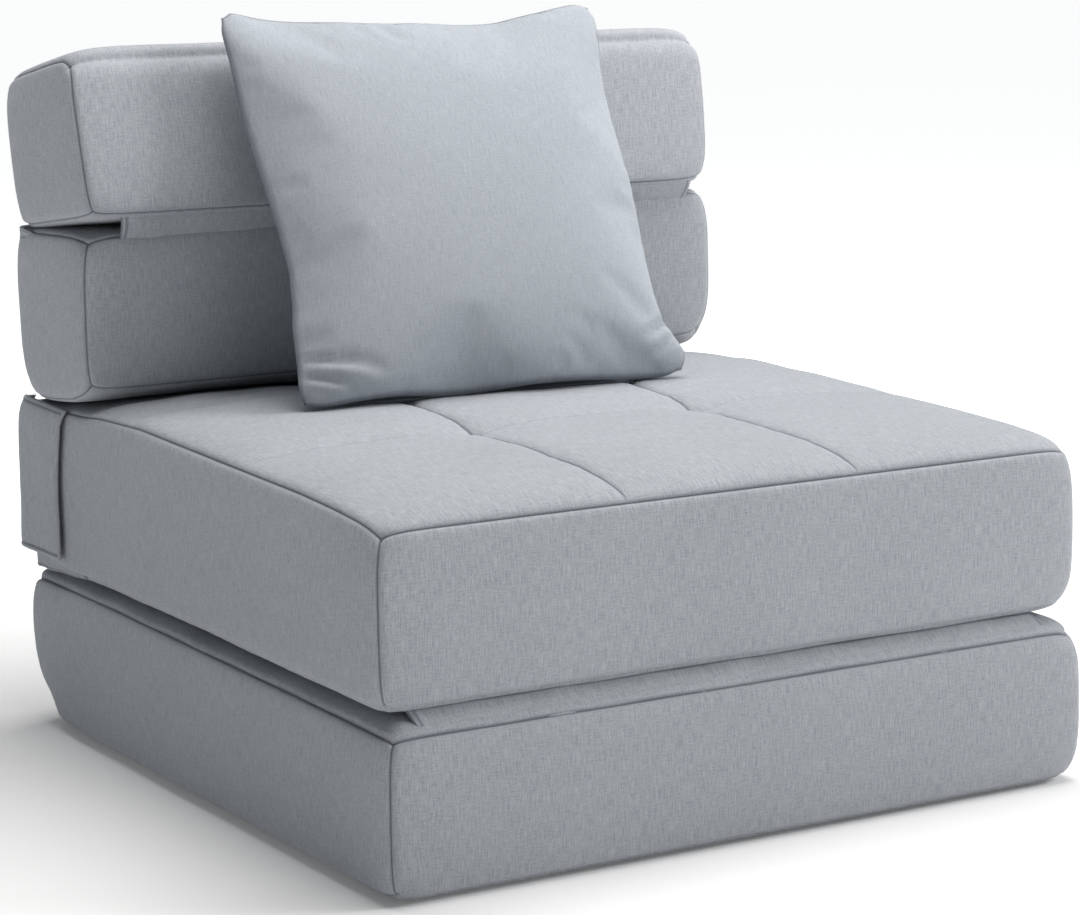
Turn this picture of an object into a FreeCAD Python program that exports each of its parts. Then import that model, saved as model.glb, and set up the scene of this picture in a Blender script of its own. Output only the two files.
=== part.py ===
import FreeCAD, Part
import Sketcher
import math
import os

# A single convertible chair bed: four foam blocks in zip-off fabric covers, joined
# edge to edge by fabric hinges so that the stack unfolds into one flat mattress.
# Front of the chair faces -Y, up is +Z, millimetres.

doc = FreeCAD.newDocument("ConvertibleChairBed")
sheet = doc.addObject("Spreadsheet::Sheet", "Dimensions")

CELLS = [
    # overall
    ("width", 750, "width of every block, seam to seam"),
    ("depth", 825, "front to back of the base block and of the seat block"),
    ("half_depth", 428, "half of the whole front-to-back extent, sets the origin"),
    ("edge_round", 14, "edge radius of the big blocks"),
    ("back_round", 13, "edge radius of the back blocks"),
    ("fabric", 2.5, "thickness of a cover with its lining"),
    ("ease", 0.5, "gap between a cover and its foam"),
    ("core_round", 12, "edge radius of the foam cores"),
    # base block
    ("base_low", 1.8, "underside of the base cover"),
    ("base_high", 163, "top of the base block with its crown"),
    ("bottom_wide", 714, "non-slip bottom panel, width"),
    ("bottom_long", 789, "non-slip bottom panel, length"),
    ("bottom_thick", 1.6, "non-slip bottom panel, thickness"),
    # seat block
    ("seat_front", 15, "front of the seat block behind the front of the base"),
    ("seat_low", 167, "underside of the seat block with its crown"),
    ("seat_high", 337, "top of the seat block at its seam"),
    ("quilt_inset", 14, "quilted top panel, inset from the sides of the seat"),
    ("quilt_thick", 14.8, "quilted top panel, thickness with wadding"),
    ("channel_wide", 6, "stitched channel, width"),
    ("channel_deep", 8, "stitched channel, depth"),
    # lower back block
    ("lower_front", 650, "front of the lower back block"),
    ("back_deep", 175, "front to back of a back block"),
    ("lower_low", 364, "underside of the lower back block"),
    ("lower_high", 530, "top of the lower back block"),
    # upper back block
    ("upper_front", 637, "front bottom edge of the upper back block"),
    ("upper_low", 563, "height of that edge"),
    ("upper_tall", 157, "height of the upper back block, along its lean"),
    ("lean", 10.5, "backward lean of the upper back block, degrees"),
    # rear panel and side flaps
    ("panel_gap", 7, "rear panel, distance behind the seat block"),
    ("panel_thick", 9, "rear panel, thickness"),
    ("panel_low", 197, "rear panel, lower edge"),
    ("panel_high", 350, "rear panel, upper edge"),
    ("flap_out", 4.5, "side flap, distance outside the seat side"),
    ("flap_thick", 5.5, "side flap, thickness"),
    ("flap_long", 111, "side flap, front to back"),
    ("flap_low", 190, "side flap, lower edge"),
    ("flap_high", 351, "side flap, upper edge"),
    ("flap_rear", 846, "side flap, rear edge"),
    ("tape_wide", 25, "hook or loop tape, width"),
    ("tape_tall", 135, "hook or loop tape, length"),
    ("tape_thick", 1.5, "hook or loop tape, thickness"),
    # hinge strips
    ("strip_wide", 690, "fabric hinge strip, length across the chair"),
    ("strip_thick", 3, "fabric hinge strip, thickness"),
    # zips
    ("zip_tape", 14, "zip tape, width"),
    ("zip_tape_thick", 1, "zip tape, thickness"),
    ("zip_coil", 5, "zip coil, width"),
    ("zip_coil_high", 2.2, "zip coil, height"),
    ("zip_long", 690, "zip length on a block"),
    ("zip_park", 325, "slider position from the middle when the zip is closed"),
    ("slider_long", 14, "zip slider, length"),
    ("slider_wide", 8.8, "zip slider, width"),
    ("slider_thick", 1.5, "zip slider, plate thickness"),
    ("slider_gap", 0.3, "clearance between the slider and the coil"),
    ("pull_long", 26, "zip pull, length"),
    ("pull_wide", 7, "zip pull, width"),
    ("pull_thick", 1, "zip pull, thickness"),
    # pillow
    ("pillow_size", 435, "pillow, edge to edge once filled"),
    ("pillow_x", -12, "pillow centre, to the right of the middle"),
    ("pillow_y", 518, "pillow centre, behind the front of the base"),
    ("pillow_z", 566, "pillow centre, height"),
    ("pillow_lean", 28.5, "pillow, backward lean, degrees"),
    ("pillow_turn", -4.1, "pillow, turn about the vertical, degrees"),
    ("pillow_zip", 340, "zip length on the pillow"),
    ("pillow_park", 155, "pillow slider position when closed"),
]
for row, (alias, value, note) in enumerate(CELLS, 1):
    sheet.set("A%d" % row, note)
    sheet.set("B%d" % row, str(value))
    sheet.setAlias("B%d" % row, alias)
doc.recompute()


def D(alias):
    return float(sheet.get(alias))


def E(text):
    """Puts the sheet's name in front of each alias of an expression."""
    words = sorted((alias for alias, _, _ in CELLS), key=len, reverse=True)
    out, i = "", 0
    while i < len(text):
        for word in words:
            end = i + len(word)
            before = text[i - 1] if i else " "
            after = text[end] if end < len(text) else " "
            if text.startswith(word, i) and not (before.isalnum() or before == "_") and not (after.isalnum() or after == "_"):
                out += "Dimensions." + word
                i = end
                break
        else:
            out += text[i]
            i += 1
    return out


pieces = []


def new_body(label):
    body = doc.addObject("PartDesign::Body", label)
    body.Label = label
    pieces.append(body)
    return body


def origin_plane(body, role):
    return [f for f in body.Origin.OriginFeatures if f.Role == role][0]


def new_sketch(body, name, role="XY_Plane", offset=None):
    sketch = body.newObject("Sketcher::SketchObject", name)
    sketch.AttachmentSupport = [(origin_plane(body, role), "")]
    sketch.MapMode = "FlatFace"
    if offset:
        sketch.setExpression("AttachmentOffset.Base.z", E(offset))
    return sketch


def vector(x, y):
    return FreeCAD.Vector(x, y, 0)


def rectangle(sketch, wide, tall, low_x=None, low_y=None, tag=""):
    """A rectangle with bound sides. Centred on the origin, or with its lower left
    corner at bound distances from the origin (signed by the starting values)."""
    C = Sketcher.Constraint
    n = sketch.GeometryCount
    x0, y0 = (-10.0, -10.0) if low_x is None else (low_x[0], low_y[0])
    p = [vector(x0, y0), vector(x0 + 20, y0), vector(x0 + 20, y0 + 20), vector(x0, y0 + 20)]
    for i in range(4):
        sketch.addGeometry(Part.LineSegment(p[i], p[(i + 1) % 4]), False)
    for i in range(4):
        sketch.addConstraint(C("Coincident", n + i, 2, n + (i + 1) % 4, 1))
    sketch.addConstraint(C("Horizontal", n))
    sketch.addConstraint(C("Horizontal", n + 2))
    sketch.addConstraint(C("Vertical", n + 1))
    sketch.addConstraint(C("Vertical", n + 3))
    k = sketch.addConstraint(C("DistanceX", n, 1, n, 2, 20.0))
    sketch.renameConstraint(k, "wide" + tag)
    k = sketch.addConstraint(C("DistanceY", n + 1, 1, n + 1, 2, 20.0))
    sketch.renameConstraint(k, "tall" + tag)
    sketch.setExpression("Constraints.wide" + tag, E(wide))
    sketch.setExpression("Constraints.tall" + tag, E(tall))
    if low_x is None:
        sketch.addConstraint(C("Symmetric", n, 1, n + 1, 2, -1, 1))
        return
    for axis, (start, text) in (("DistanceX", low_x), ("DistanceY", low_y)):
        name = {"DistanceX": "left", "DistanceY": "low"}[axis] + tag
        if start < 0:
            k = sketch.addConstraint(C(axis, n, 1, -1, 1, -start))
        else:
            k = sketch.addConstraint(C(axis, -1, 1, n, 1, start))
        sketch.renameConstraint(k, name)
        sketch.setExpression("Constraints." + name, E(text))


def polygon(sketch, points):
    """A closed outline through points given as numbers."""
    n = sketch.GeometryCount
    count = len(points)
    for i in range(count):
        sketch.addGeometry(Part.LineSegment(vector(*points[i]), vector(*points[(i + 1) % count])), False)
    for i in range(count):
        sketch.addConstraint(Sketcher.Constraint("Coincident", n + i, 2, n + (i + 1) % count, 1))


def pad(body, sketch, length, name="Pad", middle=False, reverse=False):
    feature = body.newObject("PartDesign::Pad", name)
    feature.Profile = sketch
    feature.setExpression("Length", E(length))
    feature.Midplane = middle
    feature.Reversed = reverse
    sketch.Visibility = False
    return feature


def pocket(body, sketch, length, name="Pocket", reverse=False):
    before = body.Shape.Volume
    feature = body.newObject("PartDesign::Pocket", name)
    feature.Profile = sketch
    feature.setExpression("Length", E(length))
    feature.Reversed = reverse
    doc.recompute()
    if not body.Shape.Volume < before - 1e-6:
        raise RuntimeError(body.Label + ": " + name + " cuts nothing")
    return feature


def fillet(body, base, radius, name="Rounding", keep=None):
    doc.recompute()
    names = []
    for i, edge in enumerate(base.Shape.Edges, 1):
        if keep is None or keep(edge.BoundBox):
            names.append("Edge%d" % i)
    feature = body.newObject("PartDesign::Fillet", name)
    feature.Base = (base, names)
    feature.setExpression("Radius", E(radius))
    return feature


def place(obj, x="0", y="0", z="0", turn=None):
    """Binds the position to the sheet. y is counted from the front of the base."""
    if turn is not None:
        obj.Placement = FreeCAD.Placement(FreeCAD.Vector(0, 0, 0), turn)
    obj.setExpression("Placement.Base.x", E(x))
    obj.setExpression("Placement.Base.y", E("(" + y + ") - half_depth"))
    obj.setExpression("Placement.Base.z", E(z))


def solid_block(label, wide, deep, tall, radius):
    body = new_body(label)
    sketch = new_sketch(body, label + "_outline")
    rectangle(sketch, wide, deep)
    base = pad(body, sketch, tall)
    fillet(body, base, radius)
    return body


def cover(label, wide, deep, tall, radius):
    """A closed fabric cover: a rounded block with the foam's rounded room cut out."""
    outside = solid_block(label + "_outside", wide, deep, tall, radius)
    room = solid_block(label + "_room", wide + " - 2 * fabric", deep + " - 2 * fabric",
                       "(" + tall + ") - 2 * fabric", radius + " - fabric")
    room.setExpression("Placement.Base.z", E("fabric"))
    pieces.remove(outside)
    pieces.remove(room)
    doc.recompute()
    cut = doc.addObject("Part::Cut", label)
    cut.Label = label
    cut.Base = outside
    cut.Tool = room
    doc.recompute()
    if not cut.Shape.Volume < 0.5 * outside.Shape.Volume:
        raise RuntimeError(label + " is not hollow")
    pieces.append(cut)
    return cut


def core(label, wide, deep, tall):
    return solid_block(
        label,
        wide + " - 2 * fabric - 2 * ease",
        deep + " - 2 * fabric - 2 * ease",
        "(" + tall + ") - 2 * fabric - 2 * ease",
        "core_round",
    )


def sheet_panel(label, wide, deep, tall, radius=None):
    body = new_body(label)
    sketch = new_sketch(body, label + "_outline")
    rectangle(sketch, wide, deep)
    base = pad(body, sketch, tall)
    if radius:
        fillet(body, base, radius, keep=lambda b: b.ZLength > 1e-6 and b.XLength < 1e-6)
    return body


REAR = FreeCAD.Rotation(FreeCAD.Vector(1, 0, 0), -90)


def zip_set(prefix, length):
    """Tape with its coil, the slider that closes it and the slider's pull. Made
    flat: the coil runs along X, faces +Z, and the pull hangs towards +Y."""
    chain = new_body(prefix + "_zip_chain")
    tape = new_sketch(chain, prefix + "_tape")
    rectangle(tape, length, "zip_tape")
    pad(chain, tape, "zip_tape_thick", "Tape")
    doc.recompute()
    coil = new_sketch(chain, prefix + "_coil", offset="zip_tape_thick")
    rectangle(coil, length, "zip_coil")
    pad(chain, coil, "zip_coil_high", "Coil")

    slider = new_body(prefix + "_zip_slider")
    plate = new_sketch(slider, prefix + "_plate", offset="zip_tape_thick + zip_coil_high + slider_gap")
    l, w = D("slider_long") / 2, D("slider_wide") / 2
    polygon(plate, [(-l, -w * 0.72), (-l * 0.3, -w), (l, -w), (l, w), (-l * 0.3, w), (-l, w * 0.72)])
    pad(slider, plate, "slider_thick", "Plate")
    doc.recompute()
    lips = new_sketch(slider, prefix + "_lips", offset="zip_tape_thick + slider_gap")
    lip = (D("slider_wide") - D("zip_coil")) / 2 - D("slider_gap")
    rectangle(lips, "slider_long * 0.62", "(slider_wide - zip_coil) / 2 - slider_gap",
              (-l * 0.3, "slider_long * 0.15"), (w - lip, "zip_coil / 2 + slider_gap"), "_a")
    rectangle(lips, "slider_long * 0.62", "(slider_wide - zip_coil) / 2 - slider_gap",
              (-l * 0.3, "slider_long * 0.15"), (-w, "slider_wide / 2"), "_b")
    pad(slider, lips, "zip_coil_high", "Lips")
    doc.recompute()
    bridge = new_sketch(slider, prefix + "_bridge",
                        offset="zip_tape_thick + zip_coil_high + slider_gap + slider_thick")
    rectangle(bridge, "5", "2.6")
    pad(slider, bridge, "2.2", "Bridge")

    pull = new_body(prefix + "_zip_pull")
    outline = new_sketch(pull, prefix + "_pull_outline",
                         offset="zip_tape_thick + zip_coil_high + slider_gap + slider_thick + 0.3")
    rectangle(outline, "pull_wide", "pull_long", (-D("pull_wide") / 2, "pull_wide / 2"), (-3.3, "3.3"))
    base = pad(pull, outline, "pull_thick", "Plate")
    fillet(pull, base, "2.2", "Corners", keep=lambda b: b.ZLength > 1e-6 and b.XLength < 1e-6 and b.YLength < 1e-6)
    doc.recompute()
    eye = new_sketch(pull, prefix + "_pull_eye",
                     offset="zip_tape_thick + zip_coil_high + slider_gap + slider_thick + 0.3")
    rectangle(eye, "5.7", "3.4")
    pocket(pull, eye, "pull_thick", "Eye", reverse=True)
    return chain, slider, pull


def rear_zip(prefix, length, rear, height, turn=REAR):
    """Zip on a rear face that lies at y = rear, with its middle at z = height."""
    chain, slider, pull = zip_set(prefix, length)
    place(chain, "0", rear + " + 0.2", height, turn)
    place(slider, "zip_park", rear + " + 0.2", height, turn)
    place(pull, "zip_park", rear + " + 0.2", height, turn)


# ---------------------------------------------------------------- base block
base_tall = "base_high - base_low"
b = cover("base_cover", "width", "depth", base_tall, "edge_round")
place(b, "0", "depth / 2", "base_low")
b = core("base_foam_core", "width", "depth", base_tall)
place(b, "0", "depth / 2", "base_low + fabric + ease")
b = sheet_panel("base_bottom_panel", "bottom_wide", "bottom_long", "bottom_thick", "12")
place(b, "0", "depth / 2", "0")
rear_zip("base", "zip_long", "depth", "33")

# ---------------------------------------------------------------- seat block
seat_tall = "seat_high - seat_low"
b = cover("seat_cover", "width", "depth", seat_tall, "edge_round")
place(b, "0", "seat_front + depth / 2", "seat_low")
b = core("seat_foam_core", "width", "depth", seat_tall)
place(b, "0", "seat_front + depth / 2", "seat_low + fabric + ease")

# quilted top panel: face fabric and wadding, stitched down in a three by three grid
b = new_body("seat_quilted_top")
s = new_sketch(b, "quilt_outline")
rectangle(s, "width - 2 * quilt_inset", "depth - 2 * quilt_inset")
p = pad(b, s, "quilt_thick")
fillet(b, p, "6", keep=lambda box: box.ZMin > 1 or box.ZLength > 1)
doc.recompute()
third_x, third_y = D("width") / 3, D("depth") / 3
half = D("channel_wide") / 2
s = new_sketch(b, "quilt_channels_long", offset="quilt_thick")
for tag, x0, text in (("_a", -third_x / 2 - half, "width / 6 + channel_wide / 2"),
                      ("_b", third_x / 2 - half, "width / 6 - channel_wide / 2")):
    rectangle(s, "channel_wide", "depth", (x0, text), (-D("depth") / 2, "depth / 2"), tag)
pocket(b, s, "channel_deep", "ChannelsLong")
s = new_sketch(b, "quilt_channels_cross", offset="quilt_thick")
for tag, y0, text in (("_a", -third_y / 2 - half, "depth / 6 + channel_wide / 2"),
                      ("_b", third_y / 2 - half, "depth / 6 - channel_wide / 2")):
    rectangle(s, "width", "channel_wide", (-D("width") / 2, "width / 2"), (y0, text), tag)
pocket(b, s, "channel_deep", "ChannelsCross")
place(b, "0", "seat_front + depth / 2", "seat_high + 0.2")
rear_zip("seat", "zip_long", "seat_front + depth", "188")

# ------------------------------------------- rear panel, side flaps and tapes
b = sheet_panel("rear_panel", "width", "panel_thick", "panel_high - panel_low", None)
place(b, "0", "seat_front + depth + panel_gap + panel_thick / 2", "panel_low")
for side, sign in (("left", "-"), ("right", "")):
    b = sheet_panel(side + "_side_flap", "flap_thick", "flap_long", "flap_high - flap_low", None)
    place(b, sign + "(width / 2 + flap_out + flap_thick / 2)", "flap_rear - flap_long / 2", "flap_low")
    b = sheet_panel(side + "_hook_tape", "tape_thick", "tape_wide", "tape_tall", None)
    place(b, sign + "(width / 2 + flap_out - 0.2 - tape_thick / 2)",
          "flap_rear - flap_long + 8 + tape_wide / 2", "flap_low + 12")
    b = sheet_panel(side + "_loop_tape", "tape_thick", "tape_wide", "tape_tall", None)
    place(b, sign + "(width / 2 + 0.2 + tape_thick / 2)",
          "flap_rear - flap_long + 8 + tape_wide / 2", "flap_low + 12")

# ---------------------------------------------------------- lower back block
lower_tall = "lower_high - lower_low"
b = cover("lower_back_cover", "width", "back_deep", lower_tall, "back_round")
place(b, "0", "lower_front + back_deep / 2", "lower_low")
b = core("lower_back_foam_core", "width", "back_deep", lower_tall)
place(b, "0", "lower_front + back_deep / 2", "lower_low + fabric + ease")
rear_zip("lower_back", "zip_long", "lower_front + back_deep", "lower_high - 28")

# ---------------------------------------------------------- upper back block
LEAN = FreeCAD.Rotation(FreeCAD.Vector(1, 0, 0), -D("lean"))


def upper(obj, x, y, z, turn=None):
    """Position given in the block's own leaning frame: y from its front face, z from its underside."""
    obj.Placement = FreeCAD.Placement(FreeCAD.Vector(0, 0, 0), turn or LEAN)
    obj.setExpression("Placement.Base.x", E(x))
    obj.setExpression("Placement.Base.y", E(
        "upper_front - half_depth + (%s) * cos(lean * 1 deg) + (%s) * sin(lean * 1 deg)" % (y, z)))
    obj.setExpression("Placement.Base.z", E(
        "upper_low - (%s) * sin(lean * 1 deg) + (%s) * cos(lean * 1 deg)" % (y, z)))


b = cover("upper_back_cover", "width", "back_deep", "upper_tall", "back_round")
upper(b, "0", "back_deep / 2", "0")
b = core("upper_back_foam_core", "width", "back_deep", "upper_tall")
upper(b, "0", "back_deep / 2", "fabric + ease")
turn = LEAN.multiply(REAR)
chain, slider, pull = zip_set("upper_back", "zip_long")
upper(chain, "0", "back_deep + 0.2", "36", turn)
upper(slider, "zip_park", "back_deep + 0.2", "36", turn)
upper(pull, "zip_park", "back_deep + 0.2", "36", turn)


# -------------------------------------------------------- fabric hinge strips
def strip(label, start, end):
    """A flat strip across the chair between two points of the side view (y, z)."""
    length = math.hypot(end[0] - start[0], end[1] - start[1])
    angle = math.degrees(math.atan2(end[1] - start[1], end[0] - start[0]))
    body = new_body(label)
    sketch = new_sketch(body, label + "_outline")
    rectangle(sketch, "strip_wide", "%.4f" % length)
    pad(body, sketch, "strip_thick", middle=True)
    place(body, "0", "%.4f" % ((start[0] + end[0]) / 2), "%.4f" % ((start[1] + end[1]) / 2),
          FreeCAD.Rotation(FreeCAD.Vector(1, 0, 0), angle))
    return body


front = D("seat_front")
strip("front_hinge_strip", (2.0, D("base_high") - 3.0), (front - 1.5, D("seat_low") + 4.0))
strip("rear_hinge_strip", (D("seat_front") + D("depth") + 3.0, D("seat_high") + 3.0),
      (D("lower_front") + D("back_deep") + 2.5, D("lower_low") + 8.0))
strip("back_hinge_strip", (D("lower_front") - 5.0, D("lower_high") + 3.5),
      (D("upper_front") - 2.0, D("upper_low") - 3.5))


# --------------------------------------------------------------------- pillow
def lens(body, prefix, shrink):
    """A square cushion with a thin edge, lofted through five squares. It is
    modelled lying flat, centred on the origin: thickness along Z."""
    sections = []
    for i, (level, share) in enumerate(((-66, 0.50), (-40, 0.80), (0, 1.0), (40, 0.80), (66, 0.50))):
        sketch = new_sketch(body, "%s_section_%d" % (prefix, i))
        sketch.AttachmentOffset = FreeCAD.Placement(
            FreeCAD.Vector(0, 0, level * (1 - shrink / 66.0)), FreeCAD.Rotation())
        size = "pillow_size * %.3f - %.3f" % (share, 2 * shrink)
        rectangle(sketch, size, size)
        sections.append(sketch)
    return sections


def loft(body, kind, name, sections):
    feature = body.newObject("PartDesign::" + kind, name)
    feature.Profile = sections[0]
    feature.Sections = sections[1:]
    feature.Ruled = True
    doc.recompute()
    return feature


PILLOW = FreeCAD.Rotation(FreeCAD.Vector(0, 0, 1), D("pillow_turn")).multiply(
    FreeCAD.Rotation(FreeCAD.Vector(1, 0, 0), -D("pillow_lean"))).multiply(REAR)


def on_pillow(obj, offset=None, turn=None):
    """Places a pillow piece from its own frame: X across, Y down, Z to the back."""
    at = FreeCAD.Vector(D("pillow_x"), D("pillow_y") - D("half_depth"), D("pillow_z"))
    if offset is not None:
        at = at + PILLOW.multVec(offset)
    obj.Placement = FreeCAD.Placement(at, PILLOW.multiply(turn) if turn is not None else PILLOW)


pillow_cover = new_body("pillow_cover")
loft(pillow_cover, "AdditiveLoft", "Outside", lens(pillow_cover, "pillow_out", 0))
full = pillow_cover.Shape.Volume
loft(pillow_cover, "SubtractiveLoft", "Room", lens(pillow_cover, "pillow_in", D("fabric")))
if not pillow_cover.Shape.Volume < 0.5 * full:
    raise RuntimeError("the pillow cover is not hollow")
on_pillow(pillow_cover)
pillow_insert = new_body("pillow_insert")
loft(pillow_insert, "AdditiveLoft", "Filling", lens(pillow_insert, "pillow_fill", D("fabric") + 1.5))
on_pillow(pillow_insert)
# the zip lies on the rear slope of the pillow, just above its bottom edge
slope = math.atan2(D("pillow_size") * 0.1, 40.0)
tilt = FreeCAD.Rotation(FreeCAD.Vector(1, 0, 0), -math.degrees(slope))
reach = 14.0
spot = FreeCAD.Vector(0, D("pillow_size") / 2 - reach * math.sin(slope), reach * math.cos(slope))
normal = FreeCAD.Vector(0, math.cos(slope), math.sin(slope))
chain, slider, pull = zip_set("pillow", "pillow_zip")
for obj, x in ((chain, 0), (slider, D("pillow_park")), (pull, D("pillow_park"))):
    flip = FreeCAD.Rotation(FreeCAD.Vector(1, 0, 0), math.degrees(slope) - 90)
    on_pillow(obj, spot + normal * 0.3 + FreeCAD.Vector(x, 0, 0), flip)

doc.recompute()

# ---------------------------------------------------------------- checks, export
for obj in doc.Objects:
    state = [str(word) for word in obj.State]
    if "Invalid" in state or "Error" in state:
        raise RuntimeError("failed object: " + obj.Name + " " + " ".join(state))
for piece in pieces:
    shape = piece.Shape
    if shape.isNull() or not shape.isValid() or len(shape.Solids) != 1:
        raise RuntimeError("bad shape: " + piece.Label)

os.makedirs("parts", exist_ok=True)
for piece in pieces:
    piece.Shape.exportStep("parts/%s.step" % piece.Label)
    box = piece.Shape.BoundBox
    print("%-22s %9.1f cm3  x %7.1f %7.1f  y %7.1f %7.1f  z %7.1f %7.1f" % (
        piece.Label, piece.Shape.Volume / 1000, box.XMin, box.XMax, box.YMin, box.YMax, box.ZMin, box.ZMax))
print(len(pieces), "pieces")
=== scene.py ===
import bpy
import math
import numpy as np
from mathutils import Matrix, Vector


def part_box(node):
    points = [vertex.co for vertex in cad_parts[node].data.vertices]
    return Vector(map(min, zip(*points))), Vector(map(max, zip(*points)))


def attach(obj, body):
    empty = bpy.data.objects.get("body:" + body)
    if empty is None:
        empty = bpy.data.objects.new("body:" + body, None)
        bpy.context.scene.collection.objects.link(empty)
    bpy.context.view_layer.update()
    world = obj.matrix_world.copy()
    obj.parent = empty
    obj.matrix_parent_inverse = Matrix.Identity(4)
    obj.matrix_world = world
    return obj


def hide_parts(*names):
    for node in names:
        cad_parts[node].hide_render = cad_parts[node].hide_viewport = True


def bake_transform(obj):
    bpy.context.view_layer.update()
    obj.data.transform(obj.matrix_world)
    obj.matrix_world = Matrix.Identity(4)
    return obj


# Convertible chair bed: four fabric-covered foam blocks and a loose pillow.
# Metres, front of the chair towards -Y. The front of the base lies at y = -FRONT.

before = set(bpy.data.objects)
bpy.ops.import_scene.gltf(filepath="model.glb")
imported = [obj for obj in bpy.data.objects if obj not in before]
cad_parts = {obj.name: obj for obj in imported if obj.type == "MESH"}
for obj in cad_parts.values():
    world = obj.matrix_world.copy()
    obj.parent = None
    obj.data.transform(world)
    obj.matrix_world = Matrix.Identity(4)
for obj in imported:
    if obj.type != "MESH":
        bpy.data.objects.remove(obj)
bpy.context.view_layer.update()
FRONT = 0.428
scene = bpy.context.scene


def row(y_mm):
    """From millimetres behind the front of the base to metres in the frame."""
    return y_mm / 1000.0 - FRONT


# ------------------------------------------------------------------ camera
YAW, PITCH, ROLL = 0.526596, 0.170377, -0.017468
look = Vector((math.sin(YAW) * math.cos(PITCH), math.cos(YAW) * math.cos(PITCH), -math.sin(PITCH)))
side = Vector((math.cos(YAW), -math.sin(YAW), 0))
up = side.cross(look)
side2 = math.cos(ROLL) * side + math.sin(ROLL) * up
up2 = -math.sin(ROLL) * side + math.cos(ROLL) * up
camera_data = bpy.data.cameras.new("camera")
camera = bpy.data.objects.new("camera", camera_data)
scene.collection.objects.link(camera)
basis = Matrix((side2, up2, -look)).transposed().to_4x4()
camera.matrix_world = Matrix.Translation((-1.6593, -2.9030, 0.8793)) @ basis
camera_data.sensor_fit = "HORIZONTAL"
camera_data.sensor_width = 36.0
camera_data.lens = 3298.07 / 1080.0 * 36.0
camera_data.clip_end = 60.0
scene.camera = camera
scene.view_settings.view_transform = "Standard"
scene.view_settings.look = "None"


# --------------------------------------------------------------- materials
def node(tree, kind, **inputs):
    n = tree.nodes.new(kind)
    for key, value in inputs.items():
        if hasattr(value, "links") or isinstance(value, bpy.types.NodeSocket):
            tree.links.new(value, n.inputs[key if not key.startswith("i") or not key[1:].isdigit() else int(key[1:])])
        else:
            n.inputs[key if not key.startswith("i") or not key[1:].isdigit() else int(key[1:])].default_value = value
    return n


def maths(tree, op, a, b=None, c=None):
    n = tree.nodes.new("ShaderNodeMath")
    n.operation = op
    for i, v in enumerate((a, b, c)):
        if v is None:
            continue
        if isinstance(v, bpy.types.NodeSocket):
            tree.links.new(v, n.inputs[i])
        else:
            n.inputs[i].default_value = v
    return n.outputs[0]


def ranged(tree, value, a, b, c, d, smooth=False):
    n = tree.nodes.new("ShaderNodeMapRange")
    n.interpolation_type = "SMOOTHSTEP" if smooth else "LINEAR"
    tree.links.new(value, n.inputs["Value"])
    for key, v in (("From Min", a), ("From Max", b), ("To Min", c), ("To Max", d)):
        n.inputs[key].default_value = v
    return n.outputs["Result"]


def noise2(tree, vector, sx, sy, detail=2.0, rough=0.5):
    m = tree.nodes.new("ShaderNodeMapping")
    m.inputs["Scale"].default_value = (sx, sy, 1.0)
    tree.links.new(vector, m.inputs["Vector"])
    t = tree.nodes.new("ShaderNodeTexNoise")
    t.noise_dimensions = "2D"
    t.inputs["Scale"].default_value = 1.0
    t.inputs["Detail"].default_value = detail
    t.inputs["Roughness"].default_value = rough
    tree.links.new(m.outputs["Vector"], t.inputs["Vector"])
    return t.outputs["Fac"]


def mixed(tree, fac, a, b, kind="MIX"):
    n = tree.nodes.new("ShaderNodeMix")
    n.data_type = "RGBA"
    n.blend_type = kind
    for key, v in ((0, fac), (6, a), (7, b)):
        if isinstance(v, bpy.types.NodeSocket):
            tree.links.new(v, n.inputs[key])
        else:
            n.inputs[key].default_value = v
    return n.outputs[2]


def shader(name, roughness=0.8):
    mat = bpy.data.materials.new(name)
    mat.use_nodes = True
    tree = mat.node_tree
    tree.nodes.clear()
    out = tree.nodes.new("ShaderNodeOutputMaterial")
    bsdf = tree.nodes.new("ShaderNodeBsdfPrincipled")
    bsdf.inputs["Roughness"].default_value = roughness
    tree.links.new(bsdf.outputs[0], out.inputs["Surface"])
    return mat, tree, bsdf


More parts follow.
